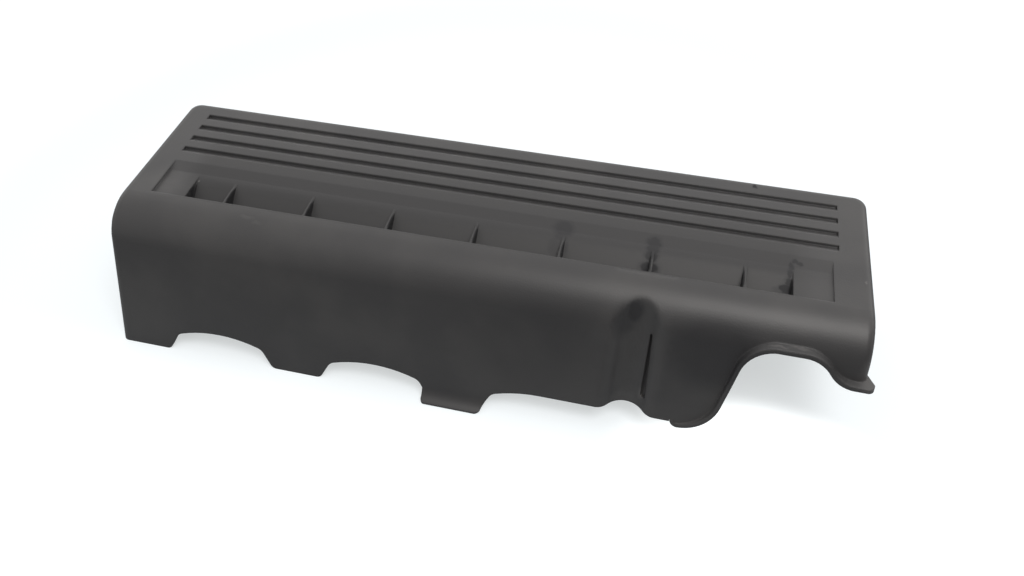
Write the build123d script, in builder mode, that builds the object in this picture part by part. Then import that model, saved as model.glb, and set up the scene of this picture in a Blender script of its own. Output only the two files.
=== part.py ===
"""Engine cover: one moulded plastic shell that pushes onto ball studs with four rubber grommets.

+X runs along the row of ribs, +Y towards the back wall, +Z up. The origin is on the floor
that the cover stands on, in the middle of its box.
"""

import os
from math import acos, cos, degrees, radians, sin, tan

from build123d import *

# Shell sizes, in millimetres and degrees
cover_height = 76.0
top_length = 387.0
top_depth = 78.5
wall = 2.5
end_draft = 3.2
back_draft = 1.5
plan_round = 7.0
edge_round = 4.0
least_round = 0.4
row_offset = 1.2

# Rounded nose and leaning front wall
lip_land = 1.8
front_round = 24.0
front_lean = 20.2

# Recess, ramped channel and row of ribs behind the lip
recess_margin = 17.5
recess_depth = 1.3
recess_fade = 7.0
channel_depth = 10.3
ramp_run = 15.5
ramp_crest_round = 12.0
ramp_land = 4.0
rib_count = 7
rib_pitch = 45.0
rib_thickness = 1.5
rib_drop = 0.25

# Sawtooth grooves along the top
groove_count = 4
groove_pitch = 9.9
groove_margin = 15.5
groove_width = 4.5
groove_depth = 1.8
groove_back_lean = 0.35
first_groove_y = 38.5

# Arches in the lower front edge, one under every second rib
arch_count = 3
arch_foot_width = 62.0
arch_crown_width = 50.0
arch_side_height = 10.0
arch_height = 14.2
arch_crown_round = 6.0
foot_round = 4.0

# Turned-out toe on the middle foot
toe_reach = 4.1
toe_round = 8.0
toe_edge = 1.2
toe_left_round = 2.5
toe_right_round = 7.0
toe_lap = 6.0

# Upright flute in the front wall, shallower at its head, with a narrow blind slot in its flank
flute_gap = 7.3
flute_foot_depth = 7.4
flute_head_depth = 4.5
flute_valley_round = 12.0
flute_shoulder_round = 8.0
slot_foot_offset = 7.8
slot_top_offset = 6.8
slot_foot_height = 25.0
slot_length = 36.0
slot_top_width = 0.9
slot_foot_width = 2.3
slot_depth = 1.6

# Wide mouth at the right, with a rim that grows along its lobe and runs out past an ear
rim_reach = 3.4
rim_thickness = 2.0
rim_fade = 25.0
ear_round = 3.0
ear_length = 3.5
ear_run_out = 8.4
lobe_inset = 82.9
lobe_height = 12.0
lobe_corner_round = 3.6
lobe_blend = 10.0
lobe_round = 22.6
mouth_side_lean = 12.0
crown_drop = 12.3
mouth_crown_round = 15.5
mouth_shoulder_round = 16.0
mouth_tip_round = 16.0
tip_drop = 11.9
tip_inset = 1.15
end_mouth_depth = 60.0
end_mouth_round = 14.0

# Grommets and the slotted holders that they slide into
grommet_spacing_x = 240.0
grommet_front_y = 8.0
grommet_back_y = 56.0
seat_height = 44.0
seat_thickness = 2.5
holder_width = 26.0
holder_depth = 24.0
holder_wall = 2.0
neck_radius = 7.0
head_radius = 9.5
head_height = 4.0
skirt_radius = 10.0
skirt_height = 5.5
stud_bore_radius = 4.5
rubber_edge = 1.0
slip = 0.1

# Values worked out from the sizes above
lean_sin = sin(radians(front_lean))
lean_cos = cos(radians(front_lean))
lean_tan = tan(radians(front_lean))
nose_drop = front_round * (1 - lean_sin)
nose_reach = lip_land + front_round * lean_cos
front_reach = nose_reach + (cover_height - nose_drop) * lean_tan
back_reach = top_depth + cover_height * tan(radians(back_draft))
foot_flare = cover_height * tan(radians(end_draft))
tip_flare = (crown_drop + tip_drop) * tan(radians(end_draft))
row_x = (foot_flare - max(foot_flare, tip_flare + rim_reach)) / 2 - row_offset
lip_y = (front_reach + toe_reach - back_reach) / 2
clear = cover_height

recess_floor = cover_height - recess_depth
recess_flat = ramp_run + ramp_land
channel_floor = cover_height - channel_depth
recess_length = top_length - 2 * recess_margin
channel_length = rib_count * rib_pitch
groove_length = top_length - 2 * groove_margin
arch_pitch = 2 * rib_pitch
arch_side_slope = (arch_foot_width - arch_crown_width) / 2 / arch_side_height
toe_rise = (toe_reach + toe_edge * lean_tan) * lean_cos
toe_turn = degrees(acos(1 - toe_rise / toe_round))
toe_height = toe_edge + toe_round * sin(radians(toe_turn)) * lean_cos - toe_rise * lean_sin
toe_width = arch_pitch - arch_foot_width + 2 * toe_height * arch_side_slope

right_end = row_offset + top_length / 2
lobe_start_x = right_end - lobe_inset
flute_rounds = flute_valley_round + flute_shoulder_round
flute_half_width = flute_rounds * sin(acos(1 - flute_foot_depth / flute_rounds))
flute_x = lobe_start_x - flute_gap - flute_half_width
flute_length = cover_height / lean_cos + front_round

mouth_height = cover_height - crown_drop
mouth_tip_height = mouth_height - tip_drop
mouth_rounds = mouth_shoulder_round + mouth_tip_round
mouth_turn = degrees(acos(1 - tip_drop / mouth_rounds))
mouth_tip_x = right_end + tip_flare - edge_round - tip_inset
mouth_shoulder_x = mouth_tip_x - mouth_rounds * sin(radians(mouth_turn))
ear_width = tip_flare + rim_reach
ear_front = front_reach - mouth_tip_height * lean_tan + rim_reach
ear_end_y = ear_length + ear_run_out - ear_front

rib_places = [rib_pitch * (i - (rib_count - 1) / 2) for i in range(rib_count)]
arch_places = rib_places[0 : 2 * arch_count : 2]
toe_x = arch_places[-1] - arch_pitch / 2
groove_places = [first_groove_y + groove_pitch * i for i in range(groove_count)]
grommet_places = {
    "grommet_front_left": (-grommet_spacing_x / 2, grommet_front_y),
    "grommet_front_right": (grommet_spacing_x / 2, grommet_front_y),
    "grommet_back_left": (-grommet_spacing_x / 2, grommet_back_y),
    "grommet_back_right": (grommet_spacing_x / 2, grommet_back_y),
}
holder_ceilings = {
    grommet_front_y: channel_floor - wall,
    grommet_back_y: cover_height - groove_depth - wall,
}

# Datum planes through the middle rib and the lip, with heights counted from the floor
side_plane = Plane(origin=(row_x, lip_y, 0), x_dir=(0, 1, 0), z_dir=(1, 0, 0))
front_plane = Plane(origin=(row_x, lip_y, 0), x_dir=(1, 0, 0), z_dir=(0, -1, 0))
floor_plane = Plane(origin=(row_x, lip_y, 0), x_dir=(1, 0, 0), z_dir=(0, 0, 1))
flute_foot = (row_x + flute_x, lip_y - front_reach, 0)
lobe_foot = (row_x + lobe_start_x, lip_y - front_reach, 0)
flute_plane = Plane(origin=flute_foot, x_dir=(1, 0, 0), z_dir=(0, lean_sin, lean_cos))
lobe_plane = Plane(origin=lobe_foot, x_dir=(1, 0, 0), z_dir=(0, lean_sin, lean_cos))
wall_plane = Plane(origin=flute_foot, x_dir=(1, 0, 0), z_dir=(0, -lean_cos, lean_sin))


def shell_body(grow, floor, corner_round):
    """Solid of the cover's outside, grown on every face, with its underside at floor."""
    top = cover_height + grow
    foot_y = -front_reach + floor * lean_tan - grow / lean_cos

    def back_y(height):
        return top_depth + (cover_height - height) * tan(radians(back_draft)) + grow

    def half_length(height):
        return top_length / 2 + (cover_height - height) * tan(radians(end_draft)) + grow

    with BuildPart() as body:
        with BuildSketch(side_plane):
            with BuildLine():
                top_line = Line((back_y(top), top), (-lip_land, top))
                nose_centre = (-lip_land, cover_height - front_round)
                nose = CenterArc(nose_centre, front_round + grow, 90, 90 - front_lean)
                Polyline(nose @ 1, (foot_y, floor), (back_y(floor), floor), top_line @ 0)
            make_face()
        extrude(amount=top_length, both=True)
        with BuildSketch(front_plane):
            Polygon(
                (row_offset - half_length(top), top),
                (row_offset - half_length(floor), floor),
                (row_offset + half_length(floor), floor),
                (row_offset + half_length(top), top),
                align=None,
            )
        extrude(amount=top_length, both=True, mode=Mode.INTERSECT)
        back_edges = body.faces().sort_by(Axis.Y)[-1].edges().sort_by(Axis.X)
        fillet([back_edges[0], back_edges[-1]], max(plan_round + grow, least_round))
        top_edges = body.faces().sort_by(Axis.Z)[-1].edges().sort_by(Axis.Y)[1:]
        fillet(top_edges, max(corner_round, least_round))
    return body.part


def flute_section(plane, depth, grow):
    """Section of the flute, moved inwards by grow, with shoulders tangent to the wall."""
    turn = degrees(acos(1 - depth / flute_rounds))
    half_width = flute_rounds * sin(radians(turn))
    with BuildSketch(plane) as section:
        with BuildLine():
            shoulder_centre = (-half_width, flute_shoulder_round)
            shoulder = CenterArc(shoulder_centre, flute_shoulder_round - grow, -90, turn)
            valley_centre = (0, depth - flute_valley_round)
            valley = CenterArc(valley_centre, flute_valley_round + grow, 90 + turn, -turn)
            Polyline(shoulder @ 0, (-half_width, -clear), (0, -clear), valley @ 1)
        make_face()
        mirror(about=Plane.YZ)
    return section.sketch


def flute_body(grow):
    """Cutter for the flute, moved inwards by grow, from the foot to above the nose."""
    foot = flute_section(flute_plane, flute_foot_depth, grow)
    head = flute_section(flute_plane.offset(flute_length), flute_head_depth, grow)
    with BuildPart() as body:
        loft([foot, head], ruled=True)
    return body.part


def along_row(profile, middle, length, grow, mode):
    """Run a profile of the side view, grown on every side, along the row of ribs."""
    with BuildSketch(side_plane.offset(middle)) as face:
        add(profile)
        if grow:
            offset(amount=grow)
    extrude(face.sketch, amount=length / 2 + grow, both=True, mode=mode)


def recess_profile():
    """Side view of the recess, which fades out in front of the grooves."""
    with BuildSketch() as profile:
        Polygon(
            (0, cover_height + clear),
            (0, recess_floor),
            (recess_flat, recess_floor),
            (recess_flat + recess_fade, cover_height),
            (recess_flat + recess_fade, cover_height + clear),
            align=None,
        )
    return profile.sketch


def channel_profile():
    """Side view of the channel, whose ramp falls from a rounded crest to the lip."""
    with BuildSketch() as profile:
        Polygon(
            (0, cover_height + clear),
            (0, channel_floor),
            (ramp_run, recess_floor),
            (recess_flat, recess_floor),
            (recess_flat, cover_height + clear),
            align=None,
        )
        crest = profile.vertices().sort_by_distance((ramp_run, recess_floor))[0]
        fillet(crest, ramp_crest_round)
    return profile.sketch


def groove_profile(place):
    """Side view of one sawtooth groove."""
    with BuildSketch() as profile:
        Polygon(
            (place, cover_height + clear),
            (place, cover_height),
            (place - groove_back_lean, cover_height - groove_depth),
            (place - groove_width, cover_height),
            (place - groove_width, cover_height + clear),
            align=None,
        )
    return profile.sketch


def sunk_top(grow, mode):
    """Recess, ramped channel and grooves of the top, grown by the wall for their undersides."""
    along_row(recess_profile(), 0, recess_length, grow, mode)
    along_row(channel_profile(), 0, channel_length, grow, mode)
    for place in groove_places:
        along_row(groove_profile(place), row_offset, groove_length, grow, mode)


def mouth_path():
    """Lower edge of the wide mouth in the front wall, from the lobe to past the right end."""
    corner_top = (lobe_start_x, lobe_height + lobe_corner_round)
    start = JernArc(corner_top, (0, -1), lobe_corner_round, 90 + lobe_blend)
    lobe = JernArc(start @ 1, start % 1, lobe_round, 90 - mouth_side_lean - lobe_blend)
    crown_rise = mouth_crown_round * (1 - sin(radians(mouth_side_lean)))
    side_rise = mouth_height - crown_rise - (lobe @ 1).Y
    side = PolarLine(lobe @ 1, side_rise / cos(radians(mouth_side_lean)), direction=lobe % 1)
    corner = JernArc(side @ 1, side % 1, mouth_crown_round, mouth_side_lean - 90)
    crown = Line(corner @ 1, (mouth_shoulder_x, mouth_height))
    fall = JernArc(crown @ 1, (1, 0), mouth_shoulder_round, -mouth_turn)
    level = JernArc(fall @ 1, fall % 1, mouth_tip_round, mouth_turn)
    tip = Line(level @ 1, (top_length, mouth_tip_height))
    return start @ 0, tip @ 1


def end_mouth_path():
    """Lower edge of the right end wall, from ahead of the front wall to the back leg."""
    turn_start = (end_mouth_depth - end_mouth_round, mouth_tip_height)
    level = Line((-front_reach - clear, mouth_tip_height), turn_start)
    turn = JernArc(turn_start, (1, 0), end_mouth_round, -90)
    leg = Line(turn @ 1, (end_mouth_depth, 0))
    return level @ 0, leg @ 1


def arch_faces(places):
    """Front view of arches at places, with the ground under them to round the feet."""
    with BuildSketch() as arch:
        with BuildLine():
            left = Line((-arch_foot_width / 2, 0), (-arch_crown_width / 2, arch_side_height))
            right_end = (arch_crown_width / 2, arch_side_height)
            crown = ThreePointArc(left @ 1, (0, arch_height), right_end)
            Polyline(crown @ 1, (arch_foot_width / 2, 0), left @ 0)
        make_face()
        fillet(arch.vertices().group_by(Axis.Y)[-1], arch_crown_round)
    with BuildSketch(front_plane.offset(nose_reach)) as faces:
        with Locations((0, -clear / 2)):
            Rectangle(2 * top_length, clear)
        with Locations(*[(place, 0) for place in places]):
            add(arch.sketch)
        ground = faces.vertices().filter_by_position(Axis.Y, -slip, slip)
        fillet(ground.sort_by(Axis.X)[1:-1], foot_round)
    return faces.sketch


outside = shell_body(0, 0, edge_round)
inside = shell_body(-wall, -clear, edge_round - wall)
rim_limit = shell_body(rim_reach, 0, ear_round)

# Core: the hollow inside of the moulding
with BuildPart() as core:
    add(inside)
    add(flute_body(wall), mode=Mode.SUBTRACT)
    sunk_top(wall, Mode.SUBTRACT)
    with BuildSketch(floor_plane.offset(seat_height)):
        with Locations(*grommet_places.values()):
            Rectangle(holder_width, holder_depth)
    extrude(amount=cover_height, mode=Mode.SUBTRACT)

# Rim of the wide mouth, which grows from nothing along the lobe and runs out past the right corner
with BuildPart() as rim:
    with BuildSketch(front_plane.offset(nose_reach / 2)):
        with BuildLine():
            mouth_path()
            offset(amount=rim_thickness, side=Side.LEFT)
        make_face()
    extrude(amount=front_reach)
    add(rim_limit, mode=Mode.INTERSECT)
    add(inside, mode=Mode.SUBTRACT)
    with BuildSketch(lobe_plane):
        fade_end = (clear * rim_fade / rim_reach, -clear)
        Polygon((-clear, 0), (0, 0), fade_end, (-clear, -clear), align=None)
    extrude(amount=cover_height, mode=Mode.SUBTRACT)
    with BuildSketch(floor_plane):
        Polygon(
            (right_end, ear_end_y),
            (right_end + clear, ear_end_y - clear * ear_run_out / ear_width),
            (right_end + clear, clear),
            (right_end, clear),
            align=None,
        )
    extrude(amount=cover_height, mode=Mode.SUBTRACT)

# Toe: the foot of the front wall turned outwards
with BuildPart() as toe:
    with BuildSketch(side_plane.offset(toe_x)):
        with BuildLine():
            toe_y = -front_reach + toe_height * lean_tan
            lap_end = (toe_y + toe_lap * lean_sin, toe_height + toe_lap * lean_cos)
            lap = Line(lap_end, (toe_y, toe_height))
            JernArc(lap @ 1, lap % 1, toe_round, -toe_turn)
            offset(amount=wall, side=Side.LEFT)
        make_face()
    extrude(amount=toe_width, both=True)
    with BuildSketch(floor_plane) as outline:
        with Locations((toe_x, -front_reach - toe_reach)):
            Rectangle(toe_width - 2 * slip, clear, align=(Align.CENTER, Align.MIN))
        fillet(outline.vertices().group_by(Axis.Y)[0].sort_by(Axis.X)[0], toe_left_round)
        fillet(outline.vertices().group_by(Axis.Y)[0].sort_by(Axis.X)[-1], toe_right_round)
    extrude(amount=cover_height, mode=Mode.INTERSECT)
    extrude(arch_faces(arch_places[-1:]), amount=front_reach, mode=Mode.SUBTRACT)

# Slot: a tapered slit in the flute's right flank that does not break through the wall
with BuildPart() as slot:
    with BuildSketch(wall_plane):
        with Locations((slot_foot_offset, slot_foot_height)):
            Circle(slot_foot_width / 2)
        with Locations((slot_top_offset, slot_foot_height + slot_length)):
            Circle(slot_top_width / 2)
        make_hull()
    extrude(amount=-flute_foot_depth - wall)
    add(flute_body(slot_depth), mode=Mode.INTERSECT)

# Cover moulding
with BuildPart() as cover:
    add(outside)
    add(rim.part)
    add(flute_body(0), mode=Mode.SUBTRACT)
    add(core.part, mode=Mode.SUBTRACT)
    sunk_top(0, Mode.SUBTRACT)

    # Triangular ribs across the ramped channel
    for place in rib_places:
        with BuildSketch(side_plane.offset(place)):
            add(channel_profile())
            with Locations((0, recess_floor - rib_drop)):
                Rectangle(clear, clear, align=(Align.CENTER, Align.MAX), mode=Mode.INTERSECT)
        extrude(amount=rib_thickness / 2, both=True)

    # Arches, raised run and room for the toe along the lower front edge
    extrude(arch_faces(arch_places), amount=front_reach, mode=Mode.SUBTRACT)
    with BuildSketch(front_plane.offset(nose_reach)):
        run_start = arch_places[-1]
        with Locations((run_start, 0)):
            Rectangle(lobe_start_x - run_start, arch_height, align=(Align.MIN, Align.MIN))
        with Locations((toe_x, 0)):
            Rectangle(arch_pitch - arch_crown_width, toe_height, align=(Align.CENTER, Align.MIN))
    extrude(amount=front_reach, mode=Mode.SUBTRACT)
    add(toe.part)

    # Wide mouth through the front wall and the right end wall
    with BuildSketch(front_plane.offset(nose_reach / 2)):
        with BuildLine():
            first, last = mouth_path()
            Polyline(last, (last.X, -clear), (first.X, -clear), first)
        make_face()
    extrude(amount=front_reach + clear, mode=Mode.SUBTRACT)
    with BuildSketch(side_plane.offset(mouth_tip_x)):
        with BuildLine():
            first, last = end_mouth_path()
            Polyline(last, (last.X, -clear), (first.X, -clear), first)
        make_face()
    extrude(amount=top_length, mode=Mode.SUBTRACT)

    # Slot in the right flank of the flute
    add(slot.part, mode=Mode.SUBTRACT)

    # Holders: a room for the head of each grommet, open to the front, and a slotted seat
    for x, y in grommet_places.values():
        room_foot = seat_height + seat_thickness
        room_back = y + holder_depth / 2 - holder_wall
        with BuildSketch(floor_plane.offset(room_foot)):
            with Locations((x, room_back)):
                Rectangle(
                    holder_width - 2 * holder_wall,
                    holder_depth,
                    align=(Align.CENTER, Align.MAX),
                )
        extrude(amount=holder_ceilings[y] - room_foot, mode=Mode.SUBTRACT)
        with BuildSketch(floor_plane.offset(seat_height)):
            with Locations((x, y)):
                Circle(neck_radius + slip)
                Rectangle(
                    2 * (neck_radius + slip),
                    holder_depth,
                    align=(Align.CENTER, Align.MAX),
                )
        extrude(amount=seat_thickness, mode=Mode.SUBTRACT)


def grommet(x, y):
    """Rubber bush with a neck that fits a holder's slotted seat and a bore for a ball stud."""
    skirt_foot = seat_height - skirt_height
    discs = [
        (skirt_foot, skirt_height, skirt_radius),
        (seat_height, seat_thickness, neck_radius),
        (seat_height + seat_thickness, head_height, head_radius),
    ]
    with BuildPart() as bush:
        for foot, height, radius in discs:
            with BuildSketch(floor_plane.offset(foot)):
                with Locations((x, y)):
                    Circle(radius)
            extrude(amount=height)
        outer_edges = bush.edges().filter_by(GeomType.CIRCLE).group_by(Axis.Z)
        fillet(outer_edges[0] + outer_edges[-1], rubber_edge)
        with BuildSketch(floor_plane.offset(skirt_foot)):
            with Locations((x, y)):
                Circle(stud_bore_radius)
        extrude(amount=skirt_height + seat_thickness + head_height, mode=Mode.SUBTRACT)
    return bush.part


os.makedirs("parts", exist_ok=True)
cover.part.label = "cover_moulding"
export_step(cover.part, "parts/cover_moulding.step")
for name, (x, y) in grommet_places.items():
    bush = grommet(x, y)
    bush.label = name
    export_step(bush, f"parts/{name}.step")
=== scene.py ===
"""Looks of the engine cover: grained plastic with stain marks, painted shade and painted highlights, rubber
grommets and a white ground.
"""

from math import radians
from typing import NamedTuple

import bpy
from bpy.props import FloatProperty, FloatVectorProperty, PointerProperty
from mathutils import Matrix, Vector

bl_info = {
    "name": "Engine Cover Looks",
    "version": (1, 0, 0),
    "blender": (4, 5, 0),
    "location": "View3D > Sidebar > Engine Cover",
    "description": "Dresses the engine cover in moulded plastic and sets up its stage",
    "category": "Object",
}

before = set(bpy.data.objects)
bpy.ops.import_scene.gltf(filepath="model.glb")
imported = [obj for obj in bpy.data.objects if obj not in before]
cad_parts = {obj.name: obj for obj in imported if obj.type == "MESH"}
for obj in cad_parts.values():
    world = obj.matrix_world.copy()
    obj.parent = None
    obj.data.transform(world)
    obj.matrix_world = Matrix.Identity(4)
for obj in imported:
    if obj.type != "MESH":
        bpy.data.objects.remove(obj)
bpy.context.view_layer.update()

COVER = "cover_moulding"
GROMMETS = ["grommet_front_left", "grommet_front_right", "grommet_back_left", "grommet_back_right"]
MM = 0.001


class Patch(NamedTuple):
    """Soft-edged ellipsoid on the cover or the floor: centre and reach in millimetres, and strength."""

    centre: tuple
    reach: tuple
    strength: float


# Row of ribs along the lip, in millimetres
ROW_X = -1.45
RIB_PITCH = 45.0
RIBS = [ROW_X + RIB_PITCH * step for step in range(-3, 4)]
CHANNEL_LEFT = RIBS[0] - RIB_PITCH / 2
CHANNEL_RIGHT = RIBS[-1] + RIB_PITCH / 2

# Camera, in metres: its place and the nearest point that it sees, and the width of its sensor in millimetres
CAMERA_PLACE = (0.08516, -0.28319, 0.36102)
NEAREST_POINT = 0.01
SENSOR_WIDTH = 36.0

# Ribs left of the camera show their right sides, and the others their left sides, in millimetres
CAMERA_X = CAMERA_PLACE[0] / MM
RIB_SHADE_OFFSET = 0.55
RIB_SIDES = [x + RIB_SHADE_OFFSET if x < CAMERA_X else x - RIB_SHADE_OFFSET for x in RIBS]

# Black painted shade, with some grime, on those sides and on the ends of the channel
SHADE_AND_DIRT = [Patch((x, -7.5, 69.0), (0.82, 10.0, 9.0), 1.0) for x in RIB_SIDES] + [
    Patch((CHANNEL_LEFT + 0.5, -8.5, 69.0), (0.8, 10.0, 9.0), 1.0),
    Patch((CHANNEL_RIGHT - 0.4, -8.5, 69.0), (0.8, 10.0, 9.0), 1.0),
]
STAINS_AND_SHADE = [
    # Slightly darker over the recess
    Patch((ROW_X, 5.0, 75.0), (400.0, 13.0, 4.0), 0.2),
    # Round the fifth rib
    Patch((42.5, 6.2, 75.0), (9.0, 8.2, 4.0), 0.8),
    Patch((42.0, 1.5, 74.5), (5.0, 5.0, 4.0), 0.7),
    Patch((39.8, -4.5, 72.5), (5.0, 8.0, 5.0), 0.55),
    Patch((45.0, -4.0, 72.0), (2.2, 7.0, 5.0), 0.6),
    # Round the sixth rib
    Patch((88.5, 5.8, 75.0), (6.4, 7.0, 4.0), 0.85),
    Patch((88.3, 2.0, 74.6), (5.8, 5.6, 4.0), 0.85),
    Patch((88.0, -1.0, 73.5), (5.6, 6.4, 4.6), 0.85),
    Patch((87.9, -7.0, 70.0), (8.0, 4.8, 5.5), 0.9),
    # Hooked streak at the right end of the channel
    Patch((159.3, 7.2, 75.2), (2.7, 2.1, 3.0), 0.85),
    Patch((157.0, 8.2, 75.4), (2.9, 2.5, 3.0), 0.85),
    Patch((155.0, 5.0, 75.0), (2.5, 4.4, 3.0), 0.85),
    Patch((154.4, 0.5, 74.2), (2.6, 4.8, 4.0), 0.85),
    Patch((154.2, -3.5, 72.6), (3.4, 4.4, 4.0), 0.85),
    Patch((153.3, -6.8, 70.6), (5.2, 3.8, 4.5), 0.9),
    Patch((150.5, -7.6, 70.0), (5.4, 3.0, 4.0), 0.7),
    # Speck at the back edge
    Patch((135.7, 59.3, 76.0), (2.2, 2.6, 3.0), 1.0),
    # Painted shade in the hollow at the head of the flute
    Patch((80.5, -38.0, 63.0), (8.0, 18.0, 15.0), 0.5),
    Patch((84.6, -32.5, 65.5), (5.6, 10.0, 9.5), 0.8),
    # Painted shade on the front wall, on the right and on the left of the flute
    Patch((124.0, -38.0, 53.0), (30.0, 26.0, 27.0), 0.62),
    Patch((38.0, -45.0, 42.0), (48.0, 30.0, 40.0), 0.24),
]
SCUFFS_AND_HIGHLIGHTS = [
    # Two rubs on the nose
    Patch((-119.0, -22.0, 75.5), (6.0, 1.6, 3.0), 0.10),
    Patch((-113.0, -24.0, 75.0), (4.0, 1.4, 3.0), 0.08),
    # Painted light on the left end of the recess
    Patch((-174.0, -3.0, 76.0), (15.0, 17.0, 4.0), 0.07),
    # Chip by the right edge, and a painted glint as a dot at the left end of the channel
    Patch((189.6, 0.6, 76.0), (0.8, 1.5, 2.0), 0.35),
    Patch((-158.3, -0.2, 74.7), (0.8, 0.8, 1.5), 0.8),
    # Painted light on the right shoulder and the foot of the flute, and on the foot of its slot, which lies
    # in shade
    Patch((99.5, -42.0, 45.0), (6.0, 25.0, 38.0), 0.05),
    Patch((86.0, -47.5, 16.0), (10.0, 7.0, 7.0), 0.09),
    Patch((94.6, -47.0, 22.5), (2.8, 6.0, 4.5), 0.25),
    # Painted highlight, with some scratching, along the crown of the rim
    Patch((152.0, -38.6, 65.4), (6.5, 1.0, 2.0), 0.26),
    Patch((161.5, -37.6, 65.7), (7.5, 1.0, 2.0), 0.26),
    # Painted reflection of the white ground on the right front corner
    Patch((197.0, -38.0, 54.0), (9.0, 22.0, 22.0), 0.22),
]
FLUTE_HEAD = [Patch((87.5, -29.0, 74.0), (24.0, 22.0, 18.0), 1.0)]
# Painted pool of light on the floor at the mouth, where the camera sees the full lift instead of the cover's
# shadow
MOUTH_FLOOR_LIGHT = [Patch((158.0, -62.0, 0.0), (85.0, 46.0, 10.0), 1.0)]

# Share of a patch's reach that is full, before its edge fades
SHADE_AND_DIRT_CORE = 0.7
STAIN_AND_SHADE_CORE = 0.4
SCUFF_AND_HIGHLIGHT_CORE = 0.3
FLUTE_HEAD_CORE = 0.7
MOUTH_FLOOR_LIGHT_CORE = 0.5

# Ragged edges of the patches, in millimetres: width of the noise and how far it moves an edge
RAGGED_WIDTH = 4.0
MARK_DRIFT = 4.0
SHADE_AND_DIRT_DRIFT = 0.5

# Dusty part of the top, in millimetres: where the dust ends and where it is full
DUST_BACK = (48.0, 8.0)
DUST_LEFT = (CHANNEL_LEFT - 14.0, CHANNEL_LEFT + 4.0)
DUST_RIGHT = (CHANNEL_RIGHT + 14.0, CHANNEL_RIGHT - 4.0)
DUST_FRONT = (-17.5, -14.5)

# Detail of the noises, and the heights of the broad one between which the clouds fade in
GRAIN_DETAIL = 2.0
CLOUD_DETAIL = 5.0
RAGGED_DETAIL = 3.0
CLOUD_FADE = (0.38, 0.66)

# Floor, in metres: where its near and shaded parts end and where they are full, and its drop below the cover
NEAR_FLOOR_ROUND = (0.50, 0.28)
NEAR_FLOOR_FRONT = (-0.32, -0.10)
SHADED_FLOOR_FRONT = (-0.13, -0.04)
FLOOR_DROP = 0.1 * MM

# Sky, by the parts of a direction: where the backdrop ends and where it is full,
# where the sky begins to dim and where it is dimmest, and the colour that the camera sees
BACKDROP_BEHIND = (-0.1, 0.8)
BACKDROP_LOW = (0.8, 0.35)
DIM_FADE = (0.45, 0.85)
WHITE = (1.0, 1.0, 1.0, 1.0)


class CoverFinish(bpy.types.PropertyGroup):
    """Colour and surface of the moulded plastic."""

    colour: FloatVectorProperty(
        name="Plastic Colour",
        description="Charcoal of the clean plastic",
        subtype="COLOR",
        min=0.0,
        max=1.0,
        default=(0.036, 0.0355, 0.0365),
    )
    worn_colour: FloatVectorProperty(
        name="Worn Colour",
        description="Grey that the plastic has faded to in cloudy patches",
        subtype="COLOR",
        min=0.0,
        max=1.0,
        default=(0.046, 0.045, 0.045),
    )
    # Stain colour, also used for the painted shade at the head of the flute and on the front wall
    stain_and_shade_colour: FloatVectorProperty(
        name="Stain Colour",
        description="Oily dirt round some of the ribs and on the front wall",
        subtype="COLOR",
        min=0.0,
        max=1.0,
        default=(0.014, 0.014, 0.016),
    )
    # Scuff colour, also used for painted light and painted highlights on the recess, the channel, the flute,
    # the rim and the right corner
    scuff_and_highlight_colour: FloatVectorProperty(
        name="Scuff Colour",
        description="Pale rubbed marks on the nose, the flute, the rim and the right corner",
        subtype="COLOR",
        min=0.0,
        max=1.0,
        default=(0.16, 0.155, 0.15),
    )
    dust_colour: FloatVectorProperty(
        name="Dust Colour",
        description="Dull grey of the dusty channel behind the lip",
        subtype="COLOR",
        min=0.0,
        max=1.0,
        default=(0.0295, 0.029, 0.0295),
    )
    roughness: FloatProperty(
        name="Roughness",
        description="Roughness of the clean plastic",
        subtype="FACTOR",
        min=0.0,
        max=1.0,
        default=0.46,
    )
    dust_roughness: FloatProperty(
        name="Dust Roughness",
        description="Roughness of the dusty channel",
        subtype="FACTOR",
        min=0.0,
        max=1.0,
        default=0.58,
    )
    # Colour of the painted shade, with some grime, on the rib sides that face the camera and at the ends of
    # the channel
    shade_and_dirt_colour: FloatVectorProperty(
        name="Dirt Colour",
        description="Black dirt packed against the sides of the ribs",
        subtype="COLOR",
        min=0.0,
        max=1.0,
        default=(0.004, 0.004, 0.005),
    )
    # Also the roughness under the painted shade by the ribs
    marked_roughness: FloatProperty(
        name="Dirt Roughness",
        description="Roughness where stains or dirt have filled the grain",
        subtype="FACTOR",
        min=0.0,
        max=1.0,
        default=0.85,
    )
    grain_size: FloatProperty(
        name="Grain Size",
        description="Width of one bump of the moulded grain",
        unit="LENGTH",
        min=0.0001,
        default=0.7 * MM,
    )
    grain_depth: FloatProperty(
        name="Grain Depth",
        description="Height of the moulded grain",
        unit="LENGTH",
        min=0.0,
        default=0.05 * MM,
    )
    cloud_size: FloatProperty(
        name="Cloud Size",
        description="Width of the faded patches",
        unit="LENGTH",
        min=0.001,
        default=45 * MM,
    )
    edge_softness: FloatProperty(
        name="Edge Softness",
        description="Radius that the moulded edges appear to have",
        unit="LENGTH",
        min=0.0,
        default=1.2 * MM,
    )
    blend_softness: FloatProperty(
        name="Blend Softness",
        description="Radius that the edges appear to have at the head of the flute",
        unit="LENGTH",
        min=0.0,
        default=5.0 * MM,
    )


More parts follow.
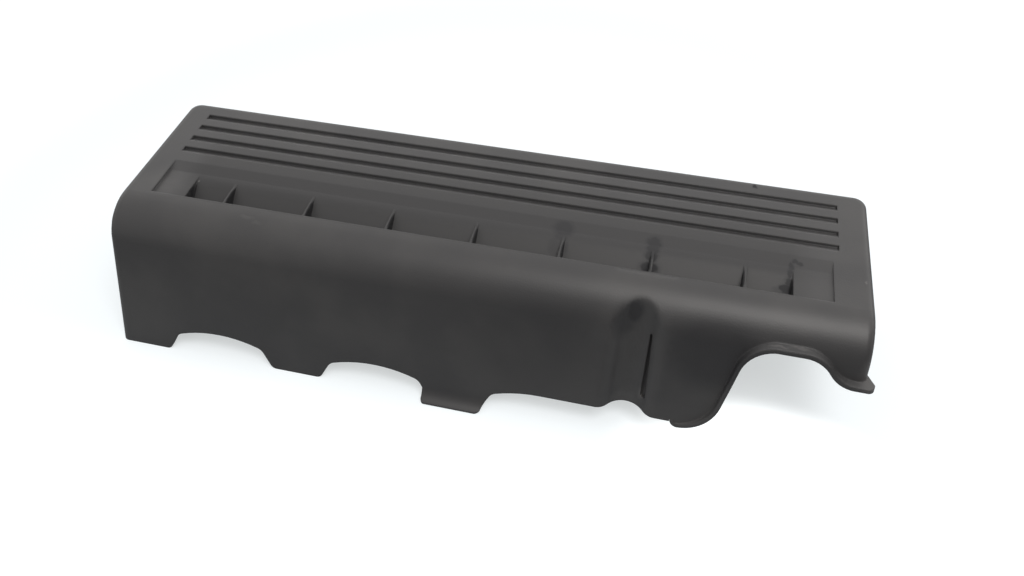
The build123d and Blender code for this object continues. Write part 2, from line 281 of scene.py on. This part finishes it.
class RubberFinish(bpy.types.PropertyGroup):
    """Colour and surface of the grommets."""

    colour: FloatVectorProperty(
        name="Rubber Colour",
        description="Black of the rubber",
        subtype="COLOR",
        min=0.0,
        max=1.0,
        default=(0.022, 0.022, 0.022),
    )
    dust_colour: FloatVectorProperty(
        name="Dust Colour",
        description="Grey bloom on the rubber",
        subtype="COLOR",
        min=0.0,
        max=1.0,
        default=(0.050, 0.049, 0.047),
    )
    roughness: FloatProperty(
        name="Roughness",
        description="Roughness of the rubber",
        subtype="FACTOR",
        min=0.0,
        max=1.0,
        default=0.8,
    )
    grain_size: FloatProperty(
        name="Grain Size",
        description="Width of one bump of the rubber's skin",
        unit="LENGTH",
        min=0.0001,
        default=0.9 * MM,
    )
    grain_depth: FloatProperty(
        name="Grain Depth",
        description="Height of the rubber's skin",
        unit="LENGTH",
        min=0.0,
        default=0.04 * MM,
    )
    cloud_size: FloatProperty(
        name="Cloud Size",
        description="Width of the patches of bloom",
        unit="LENGTH",
        min=0.001,
        default=8 * MM,
    )


class StageSettings(bpy.types.PropertyGroup):
    """Ground, light and camera."""

    floor_colour: FloatVectorProperty(
        name="Floor Colour",
        description="White ground under and round the cover",
        subtype="COLOR",
        min=0.0,
        max=1.0,
        default=(0.395, 0.425, 0.45),
    )
    far_floor_colour: FloatVectorProperty(
        name="Far Floor Colour",
        description="Darker ground in front of the white one and far from the cover",
        subtype="COLOR",
        min=0.0,
        max=1.0,
        default=(0.12, 0.12, 0.12),
    )
    floor_roughness: FloatProperty(
        name="Floor Roughness",
        description="Roughness of the floor",
        subtype="FACTOR",
        min=0.0,
        max=1.0,
        default=0.9,
    )
    floor_lift: FloatProperty(
        name="Floor Lift",
        description="Brightness that the camera sees on top of the lit floor round the cover",
        min=0.0,
        default=0.57,
    )
    # At the mouth this full lift is a painted pool of light on the floor
    far_floor_lift: FloatProperty(
        name="Far Floor Lift",
        description="Brightness that the camera sees on top of the lit floor farther off and at the mouth",
        min=0.0,
        default=1.0,
    )
    lift_colour: FloatVectorProperty(
        name="Lift Colour",
        description="Cool white that the camera sees in the shadow of the cover",
        subtype="COLOR",
        min=0.0,
        max=1.0,
        default=(0.97, 1.0, 1.0),
    )
    floor_width: FloatProperty(
        name="Floor Width",
        description="Length of each side of the square floor",
        unit="LENGTH",
        min=1.0,
        default=12.0,
    )
    sky_colour: FloatVectorProperty(
        name="Sky Colour",
        description="Colour of the soft light from all round",
        subtype="COLOR",
        min=0.0,
        max=1.0,
        default=(1.0, 0.985, 0.975),
    )
    sky_strength: FloatProperty(
        name="Sky Strength",
        description="Strength of the soft light from all round",
        min=0.0,
        default=0.9,
    )
    dim_direction: FloatVectorProperty(
        name="Dim Direction",
        description="Direction of the dim part of the sky, in front of the cover",
        subtype="DIRECTION",
        default=(0.53, -0.82, 0.20),
    )
    dim_share: FloatProperty(
        name="Dim Share",
        description="Share of the soft light that is missing in the dim part of the sky",
        subtype="FACTOR",
        min=0.0,
        max=1.0,
        default=0.92,
    )
    backdrop_strength: FloatProperty(
        name="Backdrop Strength",
        description="Strength of the light that comes low from behind the cover",
        min=0.0,
        default=0.85,
    )
    lamp_colour: FloatVectorProperty(
        name="Lamp Colour",
        description="Slightly warm colour of the soft lamp",
        subtype="COLOR",
        min=0.0,
        max=1.0,
        default=(1.0, 0.97, 0.94),
    )
    lamp_location: FloatVectorProperty(
        name="Lamp Location",
        description="Middle of the soft lamp above the right front of the cover",
        subtype="TRANSLATION",
        unit="LENGTH",
        default=(0.37, -0.31, 1.08),
    )
    lamp_width: FloatProperty(
        name="Lamp Width",
        description="Length of each side of the square lamp",
        unit="LENGTH",
        min=0.05,
        default=0.5,
    )
    lamp_power: FloatProperty(
        name="Lamp Power",
        description="Power of the soft lamp",
        unit="POWER",
        min=0.0,
        default=6.8,
    )
    camera_location: FloatVectorProperty(
        name="Camera Location",
        description="Viewpoint of the photograph",
        subtype="TRANSLATION",
        unit="LENGTH",
        default=CAMERA_PLACE,
    )
    camera_rotation: FloatVectorProperty(
        name="Camera Rotation",
        description="Direction of the photograph",
        subtype="EULER",
        unit="ROTATION",
        default=(radians(41.3222), radians(0.4374), radians(13.1469)),
    )
    camera_lens: FloatProperty(
        name="Camera Lens",
        description="Focal length of the photograph",
        unit="CAMERA",
        min=1.0,
        default=28.1347,
    )


def new_group(name, inputs, outputs):
    """Empty shader node group with named sockets, and its two end nodes."""
    group = bpy.data.node_groups.new(name, "ShaderNodeTree")
    for side, sockets in (("INPUT", inputs), ("OUTPUT", outputs)):
        for label, kind in sockets:
            group.interface.new_socket(label, in_out=side, socket_type=kind)
    return group, group.nodes.new("NodeGroupInput"), group.nodes.new("NodeGroupOutput")


def feed(tree, socket, value):
    """Link a socket to another one, or set its value."""
    if isinstance(value, bpy.types.NodeSocket):
        tree.links.new(value, socket)
    else:
        socket.default_value = value


def math_node(tree, operation, first, second):
    """Result of a Math node on two values."""
    node = tree.nodes.new("ShaderNodeMath")
    node.operation = operation
    feed(tree, node.inputs[0], first)
    feed(tree, node.inputs[1], second)
    return node.outputs["Value"]


def vector_node(tree, operation, first, second=(0.0, 0.0, 0.0)):
    """Outputs of a Vector Math node on two vectors."""
    node = tree.nodes.new("ShaderNodeVectorMath")
    node.operation = operation
    feed(tree, node.inputs[0], first)
    feed(tree, node.inputs[1], second)
    return node.outputs


def axis_values(tree, vector):
    """X, Y and Z outputs of a vector."""
    node = tree.nodes.new("ShaderNodeSeparateXYZ")
    tree.links.new(vector, node.inputs["Vector"])
    return node.outputs


def mix_colours(tree, mask, first, second):
    """Mix node from the first colour to the second by a mask."""
    node = tree.nodes.new("ShaderNodeMix")
    node.data_type = "RGBA"
    sockets = {socket.identifier: socket for socket in node.inputs}
    tree.links.new(mask, sockets["Factor_Float"])
    for name, colour in (("A_Color", first), ("B_Color", second)):
        is_linked = isinstance(colour, bpy.types.NodeSocket)
        feed(tree, sockets[name], colour if is_linked else (*colour, 1.0))
    return next(socket for socket in node.outputs if socket.identifier == "Result_Color")


def smooth_range(tree, value, start, end, low=0.0, high=1.0):
    """Map Range node that eases from low at start to high at end."""
    node = tree.nodes.new("ShaderNodeMapRange")
    node.interpolation_type = "SMOOTHSTEP"
    names = ("Value", "From Min", "From Max", "To Min", "To Max")
    for name, setting in zip(names, (value, start, end, low, high)):
        feed(tree, node.inputs[name], setting)
    return node.outputs["Result"]


def moulded_grain_group():
    """Fine pebbled skin and broad cloudiness of a moulded surface."""
    group, start, end = new_group(
        "Moulded Grain",
        [
            ("Vector", "NodeSocketVector"),
            ("Grain Size", "NodeSocketFloat"),
            ("Cloud Size", "NodeSocketFloat"),
        ],
        [("Height", "NodeSocketFloat"), ("Cloud", "NodeSocketFloat")],
    )
    heights = []
    for label, detail in (("Grain Size", GRAIN_DETAIL), ("Cloud Size", CLOUD_DETAIL)):
        noise = group.nodes.new("ShaderNodeTexNoise")
        noise.inputs["Detail"].default_value = detail
        group.links.new(start.outputs["Vector"], noise.inputs["Vector"])
        group.links.new(math_node(group, "DIVIDE", 1.0, start.outputs[label]), noise.inputs["Scale"])
        heights.append(noise.outputs["Fac"])
    fine, broad = heights
    group.links.new(fine, end.inputs["Height"])
    group.links.new(smooth_range(group, broad, *CLOUD_FADE), end.inputs["Cloud"])
    return group


def soft_patch_group():
    """Mask of one patch: an ellipsoid about a centre that is full over its core and fades to its reach."""
    group, start, end = new_group(
        "Soft Patch",
        [
            ("Vector", "NodeSocketVector"),
            ("Centre", "NodeSocketVector"),
            ("Reach", "NodeSocketVector"),
            ("Core", "NodeSocketFloat"),
        ],
        [("Mask", "NodeSocketFloat")],
    )
    offset = vector_node(group, "SUBTRACT", start.outputs["Vector"], start.outputs["Centre"])["Vector"]
    share = vector_node(group, "DIVIDE", offset, start.outputs["Reach"])["Vector"]
    distance = vector_node(group, "LENGTH", share)["Value"]
    mask = smooth_range(group, distance, 1.0, start.outputs["Core"])
    group.links.new(mask, end.inputs["Mask"])
    return group


def shared_group(name):
    """Node group of that name, built the first time that it is asked for."""
    makers = {"Moulded Grain": moulded_grain_group, "Soft Patch": soft_patch_group}
    return bpy.data.node_groups.get(name) or makers[name]()


def dust_mask(tree, vector):
    """Mask of the dusty part of the top, round the channel and fading out towards the back."""
    place = axis_values(tree, vector)
    mask = None
    for axis, limits in (("Y", DUST_BACK), ("X", DUST_LEFT), ("X", DUST_RIGHT), ("Y", DUST_FRONT)):
        side = smooth_range(tree, place[axis], *[MM * limit for limit in limits])
        mask = side if mask is None else math_node(tree, "MULTIPLY", mask, side)
    return mask


def ragged(tree, vector, drift):
    """Position moved by noise, by up to about half the drift, so that patches get ragged edges."""
    noise = tree.nodes.new("ShaderNodeTexNoise")
    noise.inputs["Scale"].default_value = 1 / (RAGGED_WIDTH * MM)
    noise.inputs["Detail"].default_value = RAGGED_DETAIL
    tree.links.new(vector, noise.inputs["Vector"])
    centred = vector_node(tree, "SUBTRACT", noise.outputs["Color"], (0.5, 0.5, 0.5))["Vector"]
    moved = vector_node(tree, "MULTIPLY", centred, (drift * MM, drift * MM, drift * MM))["Vector"]
    return vector_node(tree, "ADD", vector, moved)["Vector"]


def patches(tree, vector, group, places, core):
    """Strongest of several patches at a position."""
    strongest = None
    for patch in places:
        node = tree.nodes.new("ShaderNodeGroup")
        node.node_tree = group
        tree.links.new(vector, node.inputs["Vector"])
        node.inputs["Centre"].default_value = [MM * value for value in patch.centre]
        node.inputs["Reach"].default_value = [MM * value for value in patch.reach]
        node.inputs["Core"].default_value = core
        mask = math_node(tree, "MULTIPLY", node.outputs["Mask"], patch.strength)
        strongest = mask if strongest is None else math_node(tree, "MAXIMUM", strongest, mask)
    return strongest


def object_position(tree):
    """Position on a piece, in the frame that it was built in."""
    return tree.nodes.new("ShaderNodeTexCoord").outputs["Object"]


def new_material(name):
    """Material with an empty tree, its output and a Principled shader."""
    material = bpy.data.materials.new(name)
    material.use_nodes = True
    tree = material.node_tree
    tree.nodes.clear()
    output = tree.nodes.new("ShaderNodeOutputMaterial")
    shader = tree.nodes.new("ShaderNodeBsdfPrincipled")
    tree.links.new(shader.outputs["BSDF"], output.inputs["Surface"])
    return material, tree, shader


def add_grain(tree, group, vector, grain_size, cloud_size):
    """Moulded Grain node in a material."""
    grain = tree.nodes.new("ShaderNodeGroup")
    grain.node_tree = group
    tree.links.new(vector, grain.inputs["Vector"])
    grain.inputs["Grain Size"].default_value = grain_size
    grain.inputs["Cloud Size"].default_value = cloud_size
    return grain


def add_bump(tree, shader, height, depth):
    """Bump node that turns a height into the shader's normal."""
    bump = tree.nodes.new("ShaderNodeBump")
    bump.inputs["Distance"].default_value = depth
    tree.links.new(height, bump.inputs["Height"])
    tree.links.new(bump.outputs["Normal"], shader.inputs["Normal"])
    return bump


def soften_edges(tree, bump, head, finish):
    """Bevel node under the grain that makes edges look rounded, more so at the head of the flute."""
    edge = tree.nodes.new("ShaderNodeBevel")
    radius = smooth_range(tree, head, 0.0, 1.0, finish.edge_softness, finish.blend_softness)
    tree.links.new(radius, edge.inputs["Radius"])
    tree.links.new(edge.outputs["Normal"], bump.inputs["Normal"])


def grained_plastic(finish, grain_group, patch_group):
    """Charcoal moulded plastic with faded clouds, dust, oily stain marks, grime, pale scuff marks, painted
    shade and painted highlights.
    """
    material, tree, shader = new_material("grained_charcoal_plastic")
    vector = object_position(tree)
    grain = add_grain(tree, grain_group, vector, finish.grain_size, finish.cloud_size)
    uneven = ragged(tree, vector, MARK_DRIFT)
    dust = dust_mask(tree, vector)
    # Painted shade, with some grime, on the rib sides that face the camera
    shade_and_dirt = patches(tree, ragged(tree, vector, SHADE_AND_DIRT_DRIFT), patch_group, SHADE_AND_DIRT, SHADE_AND_DIRT_CORE)
    # Stain marks, and painted shade at the head of the flute and on the front wall
    stains_and_shade = patches(tree, uneven, patch_group, STAINS_AND_SHADE, STAIN_AND_SHADE_CORE)
    # Scuff marks and a chip, with painted light and painted highlights
    scuffs_and_highlights = patches(tree, uneven, patch_group, SCUFFS_AND_HIGHLIGHTS, SCUFF_AND_HIGHLIGHT_CORE)
    colour = mix_colours(tree, grain.outputs["Cloud"], finish.colour, finish.worn_colour)
    for mask, mark_colour in (
        (dust, finish.dust_colour),
        (stains_and_shade, finish.stain_and_shade_colour),
        (shade_and_dirt, finish.shade_and_dirt_colour),
        (scuffs_and_highlights, finish.scuff_and_highlight_colour),
    ):
        colour = mix_colours(tree, mask, colour, mark_colour)
    tree.links.new(colour, shader.inputs["Base Color"])
    dusty = smooth_range(tree, dust, 0.0, 1.0, finish.roughness, finish.dust_roughness)
    marked = math_node(tree, "MAXIMUM", shade_and_dirt, stains_and_shade)
    filled = math_node(tree, "MULTIPLY", marked, finish.marked_roughness)
    tree.links.new(math_node(tree, "MAXIMUM", dusty, filled), shader.inputs["Roughness"])
    bump = add_bump(tree, shader, grain.outputs["Height"], finish.grain_depth)
    head = patches(tree, vector, patch_group, FLUTE_HEAD, FLUTE_HEAD_CORE)
    soften_edges(tree, bump, head, finish)
    return material


def dusty_rubber(finish, grain_group):
    """Black rubber with a grey bloom."""
    material, tree, shader = new_material("dusty_black_rubber")
    vector = object_position(tree)
    grain = add_grain(tree, grain_group, vector, finish.grain_size, finish.cloud_size)
    colour = mix_colours(tree, grain.outputs["Cloud"], finish.colour, finish.dust_colour)
    tree.links.new(colour, shader.inputs["Base Color"])
    shader.inputs["Roughness"].default_value = finish.roughness
    add_bump(tree, shader, grain.outputs["Height"], finish.grain_depth)
    return material


def floor_masks(tree, vector, patch_group):
    """Mask of the pale floor near the cover, and of the part of it that shows the cover's shadow, less a
    painted pool of light at the mouth.
    """
    front = axis_values(tree, vector)["Y"]
    distance = vector_node(tree, "LENGTH", vector)["Value"]
    around = smooth_range(tree, distance, *NEAR_FLOOR_ROUND)
    near = math_node(tree, "MULTIPLY", around, smooth_range(tree, front, *NEAR_FLOOR_FRONT))
    under = math_node(tree, "MULTIPLY", around, smooth_range(tree, front, *SHADED_FLOOR_FRONT))
    # Painted pool of light at the mouth, which takes away the cover's shadow there
    mouth_light = patches(tree, vector, patch_group, MOUTH_FLOOR_LIGHT, MOUTH_FLOOR_LIGHT_CORE)
    shaded = math_node(tree, "MULTIPLY", under, math_node(tree, "SUBTRACT", 1.0, mouth_light))
    return near, shaded


def clear_from_below(tree, shader):
    """Let the back of a surface be seen through."""
    output = next(node for node in tree.nodes if node.type == "OUTPUT_MATERIAL")
    geometry = tree.nodes.new("ShaderNodeNewGeometry")
    clear = tree.nodes.new("ShaderNodeBsdfTransparent")
    side = tree.nodes.new("ShaderNodeMixShader")
    tree.links.new(geometry.outputs["Backfacing"], side.inputs["Fac"])
    tree.links.new(shader.outputs["BSDF"], side.inputs[1])
    tree.links.new(clear.outputs["BSDF"], side.inputs[2])
    tree.links.new(side.outputs["Shader"], output.inputs["Surface"])


def white_ground(settings, patch_group):
    """Pale floor that the camera sees as white where it is lit and in a painted pool of light at the mouth,
    and that is clear from below.
    """
    material, tree, shader = new_material("white_ground")
    near, shaded = floor_masks(tree, object_position(tree), patch_group)
    ground = mix_colours(tree, near, settings.far_floor_colour, settings.floor_colour)
    tree.links.new(ground, shader.inputs["Base Color"])
    shader.inputs["Roughness"].default_value = settings.floor_roughness
    shader.inputs["Specular IOR Level"].default_value = 0.0
    far_lift = [settings.far_floor_lift * value for value in settings.lift_colour]
    near_lift = [settings.floor_lift * value for value in settings.lift_colour]
    lift = mix_colours(tree, smooth_range(tree, shaded, 0.0, 1.0), far_lift, near_lift)
    tree.links.new(lift, shader.inputs["Emission Color"])
    path = tree.nodes.new("ShaderNodeLightPath")
    seen = math_node(tree, "MAXIMUM", path.outputs["Is Camera Ray"], path.outputs["Is Transmission Ray"])
    tree.links.new(seen, shader.inputs["Emission Strength"])
    clear_from_below(tree, shader)
    return material


def set_material(node_name, material):
    """Give a CAD node's only slot a better material."""
    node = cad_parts[node_name]
    node.material_slots[0].material = material


class ENGINECOVER_OT_moulding(bpy.types.Operator):
    """Give the cover moulding its grained plastic with stain and scuff marks, painted shade and painted
    highlights
    """

    bl_idname = "enginecover.moulding"
    bl_label = "Dress Cover Moulding"

    def execute(self, context):
        finish = context.scene.engine_cover_finish
        material = grained_plastic(finish, shared_group("Moulded Grain"), shared_group("Soft Patch"))
        set_material(COVER, material)
        return {"FINISHED"}


class ENGINECOVER_OT_grommets(bpy.types.Operator):
    """Give the four grommets their dusty rubber"""

    bl_idname = "enginecover.grommets"
    bl_label = "Dress Grommets"

    def execute(self, context):
        material = dusty_rubber(context.scene.engine_cover_rubber, shared_group("Moulded Grain"))
        for name in GROMMETS:
            set_material(name, material)
        return {"FINISHED"}


class ENGINECOVER_OT_stage(bpy.types.Operator):
    """Set up the white ground, the soft light and the camera"""

    bl_idname = "enginecover.stage"
    bl_label = "Set Up Stage"

    def execute(self, context):
        settings = context.scene.engine_cover_stage
        self.add_floor(context, settings)
        self.add_lamp(context, settings)
        self.add_sky(context, settings)
        self.add_camera(context, settings)
        context.scene.view_settings.view_transform = "Standard"
        return {"FINISHED"}

    def add_floor(self, context, settings):
        """White floor just under the feet of the cover."""
        bpy.ops.mesh.primitive_plane_add(size=settings.floor_width, location=(0.0, 0.0, -FLOOR_DROP))
        floor = context.object
        floor.name = "floor"
        floor.data.materials.append(white_ground(settings, shared_group("Soft Patch")))

    def add_lamp(self, context, settings):
        """Soft lamp that faces the middle of the cover."""
        lamp = bpy.data.lights.new("soft_lamp", "AREA")
        lamp.size = settings.lamp_width
        lamp.color = settings.lamp_colour
        lamp.energy = settings.lamp_power
        holder = bpy.data.objects.new("soft_lamp", lamp)
        holder.location = settings.lamp_location
        holder.rotation_euler = (-Vector(settings.lamp_location)).to_track_quat("-Z", "Y").to_euler()
        context.scene.collection.objects.link(holder)

    def add_sky(self, context, settings):
        """Soft light from all round, dim in front and brighter low behind, that the camera sees as white."""
        world = bpy.data.worlds.new("soft_sky")
        world.use_nodes = True
        tree = world.node_tree
        tree.nodes.clear()
        output = tree.nodes.new("ShaderNodeOutputWorld")
        direction = tree.nodes.new("ShaderNodeTexCoord").outputs["Generated"]
        parts = axis_values(tree, direction)
        behind = smooth_range(tree, parts["Y"], *BACKDROP_BEHIND)
        low = smooth_range(tree, parts["Z"], *BACKDROP_LOW)
        low_behind = math_node(tree, "MULTIPLY", behind, low)
        backdrop = math_node(tree, "MULTIPLY", low_behind, settings.backdrop_strength)
        dim_direction = Vector(settings.dim_direction).normalized()
        ahead = vector_node(tree, "DOT_PRODUCT", direction, dim_direction)["Value"]
        dim_strength = settings.sky_strength * (1 - settings.dim_share)
        open_sky = smooth_range(tree, ahead, *DIM_FADE, settings.sky_strength, dim_strength)
        sky = tree.nodes.new("ShaderNodeBackground")
        sky.inputs["Color"].default_value = (*settings.sky_colour, 1.0)
        tree.links.new(math_node(tree, "ADD", backdrop, open_sky), sky.inputs["Strength"])
        white = tree.nodes.new("ShaderNodeBackground")
        white.inputs["Color"].default_value = WHITE
        seen = tree.nodes.new("ShaderNodeLightPath").outputs["Is Camera Ray"]
        mix = tree.nodes.new("ShaderNodeMixShader")
        tree.links.new(seen, mix.inputs["Fac"])
        tree.links.new(sky.outputs["Background"], mix.inputs[1])
        tree.links.new(white.outputs["Background"], mix.inputs[2])
        tree.links.new(mix.outputs["Shader"], output.inputs["Surface"])
        context.scene.world = world

    def add_camera(self, context, settings):
        """Camera with the photograph's view."""
        lens = bpy.data.cameras.new("photo_camera")
        lens.sensor_width = SENSOR_WIDTH
        lens.lens = settings.camera_lens
        lens.clip_start = NEAREST_POINT
        camera = bpy.data.objects.new("photo_camera", lens)
        camera.location = settings.camera_location
        camera.rotation_euler = settings.camera_rotation
        context.scene.collection.objects.link(camera)
        context.scene.camera = camera


class ENGINECOVER_PT_looks(bpy.types.Panel):
    """Engine cover looks in the 3D view's sidebar"""

    bl_idname = "ENGINECOVER_PT_looks"
    bl_label = "Engine Cover"
    bl_space_type = "VIEW_3D"
    bl_region_type = "UI"
    bl_category = "Engine Cover"

    def draw(self, context):
        for settings in (
            context.scene.engine_cover_finish,
            context.scene.engine_cover_rubber,
            context.scene.engine_cover_stage,
        ):
            box = self.layout.box()
            for name in settings.__annotations__:
                box.prop(settings, name)
        for operator in (ENGINECOVER_OT_moulding, ENGINECOVER_OT_grommets, ENGINECOVER_OT_stage):
            self.layout.operator(operator.bl_idname)


CLASSES = [
    CoverFinish,
    RubberFinish,
    StageSettings,
    ENGINECOVER_OT_moulding,
    ENGINECOVER_OT_grommets,
    ENGINECOVER_OT_stage,
    ENGINECOVER_PT_looks,
]


def register():
    for item in CLASSES:
        bpy.utils.register_class(item)
    bpy.types.Scene.engine_cover_finish = PointerProperty(type=CoverFinish)
    bpy.types.Scene.engine_cover_rubber = PointerProperty(type=RubberFinish)
    bpy.types.Scene.engine_cover_stage = PointerProperty(type=StageSettings)


def unregister():
    del bpy.types.Scene.engine_cover_stage
    del bpy.types.Scene.engine_cover_rubber
    del bpy.types.Scene.engine_cover_finish
    for item in reversed(CLASSES):
        bpy.utils.unregister_class(item)


def main():
    register()
    bpy.ops.enginecover.moulding()
    bpy.ops.enginecover.grommets()
    bpy.ops.enginecover.stage()


if __name__ == "__main__":
    main()
